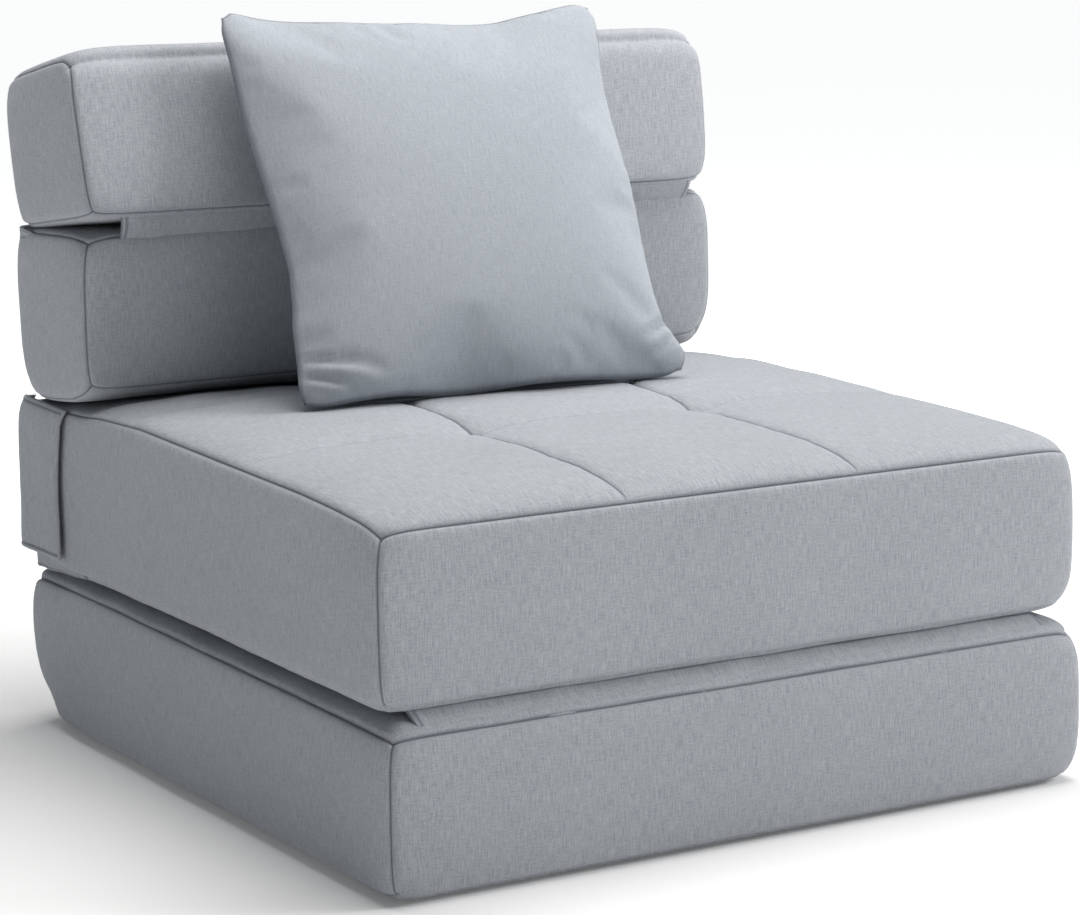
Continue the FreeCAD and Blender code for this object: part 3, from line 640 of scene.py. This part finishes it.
def ribbon(name, path, across, thick, material, plane="yz", dark_lines_at=(), seed=3, wave=0.0006, step=0.002, hem=0.0, soft=0.004, slant=(0.0, 0.0)):
    """A cloth band with real thickness. path is its line in the given plane and
    across its extent along the third axis. Its dark lines lie at the listed distances
    from its ends, across and along: stitched lines, and, right at the rim, a painted contact shade."""
    line = along(path, step)
    tangent = np.gradient(line, axis=0)
    tangent /= np.linalg.norm(tangent, axis=1)[:, None]
    normal = np.stack([-tangent[:, 1], tangent[:, 0]], 1)
    length = np.concatenate([[0], np.cumsum(np.linalg.norm(np.diff(line, axis=0), axis=1))])
    a0, a1 = across
    ends = [0, 0.0008, 0.0018, 0.003, 0.005, 0.008, 0.012] if a1 - a0 > 0.04 else [0, 0.0006, 0.0014, 0.0024, 0.0036]
    inner = a1 - a0 - 2 * ends[-1]
    n = max(2, int(inner / (0.009 if inner > 0.02 else 0.0015)))
    xs = np.array([a0 + e for e in ends] + [a0 + ends[-1] + inner * k / n for k in range(1, n)] + [a1 - e for e in ends[::-1]])
    m = len(line)
    X, L = np.meshgrid(xs, length, indexing="ij")
    share = (X - a0) / (a1 - a0)
    ends_at = L * (slant[0] * np.exp(-share / 0.05) + slant[1] * np.exp(-(1 - share) / 0.05))
    edge = np.minimum(np.minimum(X - a0, a1 - X), np.minimum(L, length[-1] - L))
    half = thick / 2 * np.sqrt(np.clip(1 - (1 - np.clip(edge / soft, 0, 1)) ** 2, 0, 1))
    if hem:
        half = half * (1 + 0.35 * np.exp(-((edge - hem * 0.5) / (hem * 0.45)) ** 2)) - 0.0005 * np.exp(-((edge - hem) / 0.0011) ** 2)
    pts3 = np.stack([X.ravel(), np.tile(line[:, 0], len(xs)), np.tile(line[:, 1], len(xs))], 1)
    offset = (wave * waves(pts3, 0.06, seed) + wave * 0.4 * waves(pts3, 0.02, seed + 1)).reshape(X.shape)
    offset *= np.clip(edge / 0.006, 0.3, 1)
    front = line[None] + normal[None] * (offset + half)[..., None]
    back = line[None] + normal[None] * (offset - half)[..., None]

    def full(p2):
        if plane == "yz":
            return np.stack([X + ends_at, p2[..., 0], p2[..., 1]], -1).reshape(-1, 3)
        return np.stack([p2[..., 0], p2[..., 1], X], -1).reshape(-1, 3)

    nx = len(xs)
    idx = np.arange(nx * m).reshape(nx, m)
    rim = np.zeros((nx, m), bool)
    rim[0], rim[-1], rim[:, 0], rim[:, -1] = True, True, True, True
    second = np.where(rim, idx, -1)
    second[~rim] = nx * m + np.arange((~rim).sum())
    points = np.concatenate([full(front), full(back)[~rim.ravel()]])
    q = np.stack([idx[:-1, :-1], idx[:-1, 1:], idx[1:, 1:], idx[1:, :-1]], -1).reshape(-1, 4)
    q2 = np.stack([second[:-1, :-1], second[:-1, 1:], second[1:, 1:], second[1:, :-1]], -1).reshape(-1, 4)[:, ::-1]
    uvg = np.stack([X, L], -1) if plane == "yz" else np.stack([L, X], -1)
    uvg = uvg.reshape(-1, 2)
    uv = np.concatenate([uvg[q], uvg[np.stack([idx[:-1, :-1], idx[:-1, 1:], idx[1:, 1:], idx[1:, :-1]], -1).reshape(-1, 4)[:, ::-1]]])
    # painted dark lines: stitched lines, and for a distance right at the rim a painted contact shade
    mark = np.zeros(X.shape)
    for d in dark_lines_at:
        mark = np.maximum(mark, np.exp(-((edge - d) / 0.0008) ** 2))
    mark = mark.ravel()
    ob = make(name, points, np.concatenate([q, q2]), uv, np.concatenate([mark, mark[~rim.ravel()]]), material)
    # outward facing
    mesh = ob.data
    volume = 0.0
    co = np.array([v.co for v in mesh.vertices])
    f = np.array([p.vertices[:] for p in mesh.polygons])
    a, b, c, d = (co[f[:, i]] for i in range(4))
    volume = (np.einsum("ij,ij->i", a, np.cross(b, c)) + np.einsum("ij,ij->i", a, np.cross(c, d))).sum()
    if volume < 0:
        mesh.flip_normals()
    return ob, length[-1]


def yz(*points):
    return [(row(y), z / 1000.0) for y, z in points]


# its dark line 0.6 mm in from the rims is a painted contact shade; the one 4.6 mm in is its hem stitch
front_strip, front_long = ribbon(
    "front_hinge_band", yz((1.5, 145.5), (0.8, 149.5), (2.2, 153.5), (6.0, 158.5), (11.0, 164.0), (16.5, 169.0), (23.0, 173.0)),
    (-0.344, 0.362), 0.0034, fabric, seed=61, wave=0.0006, dark_lines_at=(0.0006, 0.0046), slant=(-0.20, -0.55))
rear_strip, rear_long = ribbon(
    "rear_hinge_band", yz((834.0, 344.0), (842.0, 347.0), (848.0, 350.5), (850.5, 354.0), (848.5, 357.0), (841.0, 359.5), (829.0, 361.0)),
    (-0.345, 0.345), 0.0030, fabric, seed=63, wave=0.0004)
# its dark line 0.6 mm in from the rims is a painted contact shade; the one 4.6 mm in is its hem stitch
back_strip, back_long = ribbon(
    "back_hinge_band", yz((653.0, 532.0), (648.0, 535.5), (642.5, 540.5), (637.5, 546.5), (633.5, 552.5), (631.5, 558.0), (632.5, 563.0), (636.0, 567.0)),
    (-0.336, 0.349), 0.0040, fabric, seed=65, wave=0.0006, dark_lines_at=(0.0006, 0.0046), slant=(-0.15, 0.0))

# the skirt behind the seat, and the flaps that go on from it round the corners
panel_ob, _ = ribbon(
    "rear_skirt", [(row(851.0), 0.195), (row(852.0), 0.27), (row(851.0), 0.3500)], (-0.3745, 0.3745), 0.0050,
    fabric, seed=71, wave=0.0010, dark_lines_at=(0.007,), hem=0.007, step=0.004)


co = np.array([v.co for v in panel_ob.data.vertices])
t = np.clip((co[:, 2] - 0.262) / 0.094, 0, 1) ** 1.6
co[:, 1] -= 0.0050 * t
co[:, 0] *= 1 - 0.022 * t
co[:, 2] -= 0.0040 * np.clip((co[:, 2] - 0.33) / 0.02, 0, 1)
panel_ob.data.vertices.foreach_set("co", co.astype(np.float32).ravel())
panel_ob.data.update()
TAPE_TOP = max(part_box(side + "_hook_tape")[1][2] for side in ("left", "right")) + 0.001


def side_flap(name, sign, seed):
    path = [(sign * 0.3660, row(851.4)), (sign * 0.3735, row(849.6)), (sign * 0.3790, row(845.0)), (sign * 0.3818, row(838.0)),
            (sign * 0.3824, row(826.0)), (sign * 0.3823, row(790.0)), (sign * 0.3820, row(760.0)), (sign * 0.3816, row(733.0))]
    ob, size = ribbon(name, path, (0.1890, 0.3560), 0.0030, fabric, plane="xy", seed=seed, wave=0.0007,
                      dark_lines_at=(0.0050,), hem=0.0050, step=0.003)
    co = np.array([v.co for v in ob.data.vertices])
    t = np.clip((co[:, 2] - 0.262) / 0.094, 0, 1) ** 1.6
    late = np.clip((co[:, 2] - TAPE_TOP) / (0.356 - TAPE_TOP), 0, 1) ** 1.3
    forward = np.clip((row(852.0) - co[:, 1]) / 0.118, 0, 1)
    behind = np.clip(1 - forward / 0.12, 0, 1)
    co[:, 0] -= sign * (late * 0.0070 + (1 - late) * t * behind * 0.004)
    co[:, 1] -= t * (0.0050 + 0.0130 * forward)
    co[:, 2] -= np.clip((co[:, 2] - 0.33) / 0.026, 0, 1) * (0.0040 * forward + 0.0045 * behind)
    co[:, 0] -= sign * 0.0030 * late * behind
    co[:, 0] += sign * 0.0012 * np.clip((0.215 - co[:, 2]) / 0.026, 0, 1) * (1 - forward)
    ob.data.vertices.foreach_set("co", co.astype(np.float32).ravel())
    ob.data.update()
    return ob, size


left_flap, flap_long = side_flap("left_flap_cloth", -1, 73)
right_flap, _ = side_flap("right_flap_cloth", 1, 79)


def zip_lip(name, half, rear, front, span, seed, drop=0.0, taper=0.6, bury=0.004, thick=0.0022):
    """The lip of cloth beside a zip: along the rear of a block and round both its corners,
    where it narrows and runs into the seam."""
    path = []
    for sign in (-1, 1):
        part = [(sign * half, row(front)), (sign * half, row(rear - 22)),
                (sign * (half - 0.004), row(rear - 9)), (sign * (half - 0.015), row(rear - 2)), (sign * (half - 0.06), row(rear)), (sign * 0.2, row(rear + 1))]
        path += part if sign < 0 else part[::-1]
    ob, size = ribbon(name, path, span, thick, fabric, plane="xy", seed=seed, wave=0.0007, dark_lines_at=(0.0030,), step=0.004, soft=0.0015)
    co = np.array([v.co for v in ob.data.vertices])
    u = np.clip((row(rear - 22) - co[:, 1]) / (row(rear - 22) - row(front)), 0, 1)
    mid = (span[0] + span[1]) / 2
    co[:, 2] = mid + (co[:, 2] - mid) * (1 - taper * u) - drop * u
    co[:, 2] += 0.0011 * waves(np.stack([co[:, 0], co[:, 1], 0 * co[:, 0]], 1), 0.055, seed + 3) * (0.3 + np.clip(u * 6, 0, 1) * (1 - u))
    co[:, 0] -= np.sign(co[:, 0]) * bury * u ** 2
    ob.data.vertices.foreach_set("co", co.astype(np.float32).ravel())
    ob.data.update()
    return ob, size


lower_lip, lower_lip_long = zip_lip("lower_back_zip_lip", 0.3790, 835.0, 765.0, (0.5225, 0.5370), 81, drop=0.0015, taper=0.75, bury=0.006)
seat_lip, seat_lip_long = zip_lip("seat_zip_lip", 0.3726, 840.0, 690.0, (0.1685, 0.1880), 83, drop=0.0, taper=0.7, bury=0.0025, thick=0.0034)
base_lip, base_lip_long = zip_lip("base_zip_lip", 0.3560, 815.0, 775.0, (0.0035, 0.0150), 85, bury=0.004)


# ------------------------------------------------------------------- pillow
PILLOW_AT = Vector((-0.0188, row(518.0), 0.5673))
PILLOW_HALF, PILLOW_TURN, PILLOW_LEAN = 0.217, math.radians(-4.1), math.radians(28.7)
# how far each seam lies inside the straight line between its corners, in millimetres
SEAM_LINES = {
    "top": ((-1, 0), (-0.93, -4), (-0.80, 1.5), (-0.55, 9), (-0.25, 17.5), (-0.10, 19), (0.0, 18), (0.25, 18.5), (0.45, 18.5),
            (0.70, 11), (0.90, 1), (0.96, -1), (1, 0)),
    "left": ((-1, 0), (-0.9, 1), (-0.66, 4), (-0.1, 13), (0.15, 18), (0.32, 21), (0.50, 16), (0.60, 11), (0.80, 7), (0.93, 2), (1, 0)),
    "right": ((-1, 0), (-0.95, -2), (-0.64, 6), (0.0, 9), (0.35, 11), (0.58, 14), (0.72, 13), (0.79, 6), (0.88, -2), (0.96, -3), (1, 0)),
    "bottom": ((-1, 0), (-0.9, 1), (-0.5, 3.0), (0.0, 2), (0.5, 3), (0.9, 1), (1, 0)),
}


def seam_line(which, s):
    kx, kv = zip(*SEAM_LINES[which])
    return np.interp(s, kx, kv) / 1000.0


def build_pillow():
    """Two panels sewn edge to edge over a soft filling. Local: X across, Y down, Z to the
    back, as in the CAD model. The seam keeps its line while the panels are blown out."""
    n = 72
    t = np.linspace(-1, 1, n + 1)
    s = np.sin(t * math.pi / 2) * 0.4 + t * 0.6
    ux, uy = np.meshgrid(s, s, indexing="ij")
    X, Y = ux * PILLOW_HALF, uy * PILLOW_HALF
    X = X + np.where(ux < 0, seam_line("left", uy), -seam_line("right", uy)) * np.abs(ux) ** 1.6
    Y = Y + np.where(uy < 0, seam_line("top", ux), -seam_line("bottom", ux)) * np.abs(uy) ** 1.6
    for sx in (-1, 1):
        for sy in (-1, 1):
            d = np.hypot(1 - sx * ux, 1 - sy * uy) * PILLOW_HALF
            pull = 0.0053 * np.exp(-(d / 0.016) ** 2)
            X, Y = X - sx * pull, Y - sy * pull
    swell = (np.clip(1 - ux ** 2, 0, 1) * np.clip(1 - uy ** 2, 0, 1)) ** 0.45
    idx = np.arange((n + 1) ** 2).reshape(n + 1, n + 1)
    rim = np.zeros_like(idx, bool)
    rim[0], rim[-1], rim[:, 0], rim[:, -1] = True, True, True, True
    second = np.where(rim, idx, -1)
    second[~rim] = (n + 1) ** 2 + np.arange((~rim).sum())
    flat3 = np.stack([X, Y, 0 * X], -1).reshape(-1, 3)
    bow = 0.004 * waves(flat3, 0.16, 3).reshape(X.shape) * np.maximum(np.abs(ux), np.abs(uy)) ** 4
    start = 0.047
    front = np.stack([X, Y, bow - start * swell], -1).reshape(-1, 3)
    back = np.stack([X, Y, bow + start * swell], -1).reshape(-1, 3)[~rim.ravel()]
    points = np.concatenate([front, back])
    q = np.stack([idx[:-1, :-1], idx[:-1, 1:], idx[1:, 1:], idx[1:, :-1]], -1).reshape(-1, 4)
    q2 = np.stack([second[:-1, :-1], second[:-1, 1:], second[1:, 1:], second[1:, :-1]], -1).reshape(-1, 4)[:, ::-1]
    uvg = np.stack([ux, -uy], -1).reshape(-1, 2) * PILLOW_HALF
    uv = np.concatenate([uvg[q], uvg[q[:, ::-1]]])
    edge = (np.minimum(1 - np.abs(ux), 1 - np.abs(uy)) * PILLOW_HALF).ravel()
    mark = np.exp(-(edge / 0.0010) ** 2) * 0.8
    ob = make("pillow_shell", points, np.concatenate([q, q2]), uv, np.concatenate([mark, mark[~rim.ravel()]]), pillow_fabric)
    co = points
    pin = ob.vertex_groups.new(name="seam_line")
    pin.add([int(i) for i in idx[rim]], 1.0, "REPLACE")
    mod = ob.modifiers.new("cloth", "CLOTH")
    c = mod.settings
    c.quality = 6
    c.mass = 0.3
    c.vertex_group_mass = "seam_line"
    c.tension_stiffness, c.compression_stiffness, c.shear_stiffness, c.bending_stiffness = 20, 10, 6, 3
    c.tension_damping = c.compression_damping = 15
    c.shear_damping, c.bending_damping, c.air_damping = 5, 1, 5
    c.use_pressure = True
    c.uniform_pressure_force = 3.0
    c.shrink_min = -0.007
    c.effector_weights.gravity = 0.0
    mod.collision_settings.use_collision = False
    mod.collision_settings.use_self_collision = False
    mod.point_cache.frame_start, mod.point_cache.frame_end = 1, 18
    for f in range(1, 19):
        scene.frame_set(f)
    shaped = ob.evaluated_get(bpy.context.evaluated_depsgraph_get())
    co = np.array([v.co for v in shaped.data.vertices])
    ob.modifiers.remove(mod)
    ob.vertex_groups.clear()
    scene.frame_set(1)
    # creases at the two lower corners, where the pillow stands on the seat
    gx, gy = points[:, 0], points[:, 1]
    is_front = np.concatenate([np.ones((n + 1) ** 2, bool), np.zeros((~rim).sum(), bool)])
    inner = np.concatenate([edge, edge[~rim.ravel()]])
    fade = np.clip(inner / 0.006, 0, 1)

    def crease(x0, y0, x1, y1, width, depth, both=False):
        """A fold from one point to another: a valley with a soft ridge beside it."""
        ax, ay = x1 - x0, y1 - y0
        length = math.hypot(ax, ay)
        ax, ay = ax / length, ay / length
        along_it = ((gx - x0) * ax + (gy - y0) * ay) / length
        across_it = (gx - x0) * -ay + (gy - y0) * ax
        shape = np.exp(-(across_it / width) ** 2) - 0.55 * np.exp(-((across_it - 1.9 * width) / (1.2 * width)) ** 2)
        window = np.clip(np.sin(np.clip(along_it, 0, 1) * math.pi), 0, 1) ** 0.6
        return depth * shape * window * fade * np.where(is_front, 1, 0.6 if both else 0)

    h = PILLOW_HALF
    push = crease(-h + 0.004, h - 0.052, -h + 0.062, h - 0.036, 0.0045, 0.0055)
    push += crease(-h + 0.006, h - 0.034, -h + 0.050, h - 0.018, 0.0035, 0.0040)
    push += crease(-h + 0.040, h - 0.050, -h + 0.090, h - 0.026, 0.0060, 0.0030)
    push += crease(h - 0.004, h - 0.062, h - 0.050, h - 0.040, 0.0042, 0.0050)
    push += crease(h - 0.006, h - 0.046, h - 0.040, h - 0.020, 0.0035, 0.0038)
    push += crease(-h * 0.24, -h + 0.020, -h * 0.16, -h + 0.052, 0.0042, 0.0022)
    push += crease(h * 0.44, -h + 0.020, h * 0.36, -h + 0.046, 0.0042, 0.0018)
    co = co.copy()
    co[:, 2] += np.where(is_front, push, -push)
    return ob, co


pillow_ob, co = build_pillow()
turn = Matrix.Rotation(PILLOW_TURN, 3, "Z") @ Matrix.Rotation(-PILLOW_LEAN, 3, "X") @ Matrix.Rotation(math.radians(-90), 3, "X")
world = co @ np.array(turn).T + np.array(PILLOW_AT)
pillow_ob.data.vertices.foreach_set("co", world.astype(np.float32).ravel())
pillow_ob.data.update()
print("pillow thickness %.4f, y %.4f to %.4f, lowest %.4f" % (co[:, 2].max() - co[:, 2].min(), world[:, 1].min(), world[:, 1].max(), world[:, 2].min()))


# ------------------------------------------------------------- attach pieces
for ob, body, nodes in (
    (base_ob, "base", ("base_cover", "base_foam_core")),
    (seat_ob, "seat", ("seat_cover", "seat_foam_core")),
    (quilt_ob, "seat", ("seat_quilted_top",)),
    (panel_ob, "seat", ("rear_panel",)),
    (lower_lip, "lower_back", ()),
    (seat_lip, "seat", ()),
    (base_lip, "base", ()),
    (lower_ob, "lower_back", ("lower_back_cover", "lower_back_foam_core")),
    (upper_ob, "upper_back", ("upper_back_cover", "upper_back_foam_core")),
    (pillow_ob, "pillow", ("pillow_cover", "pillow_insert")),
):
    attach(ob, body)
    if nodes:
        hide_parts(*nodes)

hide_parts("front_hinge_strip")
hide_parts("rear_hinge_strip")
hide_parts("back_hinge_strip")
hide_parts("left_side_flap")
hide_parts("right_side_flap")
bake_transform(front_strip)
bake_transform(rear_strip)
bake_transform(back_strip)
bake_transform(left_flap)
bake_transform(right_flap)

# CAD pieces that stay get their finish
for name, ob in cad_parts.items():
    if name.endswith("_zip_chain"):
        mat = zip_tape_mat
    elif name.endswith(("_zip_slider", "_zip_pull")):
        mat = zip_metal_mat
    elif name.endswith("_hook_tape"):
        mat = hook_mat
    elif name.endswith("_loop_tape"):
        mat = loop_mat
    elif name == "base_bottom_panel":
        mat = non_slip_mat
    else:
        continue
    ob.data.materials.clear()
    ob.data.materials.append(mat)

# -------------------------------------------------------------------- stage
floor_mesh = bpy.data.meshes.new("floor")
floor_mesh.from_pydata([(-60, -60, 0), (60, -60, 0), (60, 60, 0), (-60, 60, 0)], [], [(0, 1, 2, 3)])
floor = bpy.data.objects.new("floor", floor_mesh)
scene.collection.objects.link(floor)
floor_mat, tree, bsdf = shader("studio_floor", 0.9)
place = object_coords(tree)
fac = noise3(tree, place, 3.0)
tree.links.new(mixed(tree, fac, (0.90, 0.90, 0.90, 1), (0.93, 0.93, 0.93, 1)), bsdf.inputs["Base Color"])
# painted light: the floor glows, faintly in the middle where the chair stands and more strongly further out, so that it
# fades to white
far = tree.nodes.new("ShaderNodeVectorMath")
far.operation = "LENGTH"
tree.links.new(place, far.inputs[0])
bsdf.inputs["Emission Color"].default_value = (1, 1, 1, 1)
tree.links.new(ranged(tree, far.outputs["Value"], 0.55, 2.6, 0.08, 0.85, True), bsdf.inputs["Emission Strength"])
floor_mesh.materials.append(floor_mat)

world_data = bpy.data.worlds.new("studio")
world_data.use_nodes = True
bg = world_data.node_tree.nodes["Background"]
bg.inputs[0].default_value = (0.90, 0.96, 1.0, 1)
bg.inputs[1].default_value = 0.136
scene.world = world_data


def area(name, at, aim, size, power, colour=(1, 1, 1)):
    light = bpy.data.lights.new(name, "AREA")
    light.shape = "RECTANGLE"
    light.size, light.size_y = size
    light.energy = power
    light.color = colour
    ob = bpy.data.objects.new(name, light)
    ob.location = at
    ob.rotation_euler = (Vector(aim) - Vector(at)).to_track_quat("-Z", "Y").to_euler()
    scene.collection.objects.link(ob)


area("key", (3.0, -2.0, 2.15), (0, 0, 0.25), (1.3, 1.3), 79, (1.0, 0.99, 0.98))
area("top", (0.4, 0.15, 3.0), (0.05, 0, 0.3), (2.4, 2.4), 103, (1.0, 0.98, 0.965))
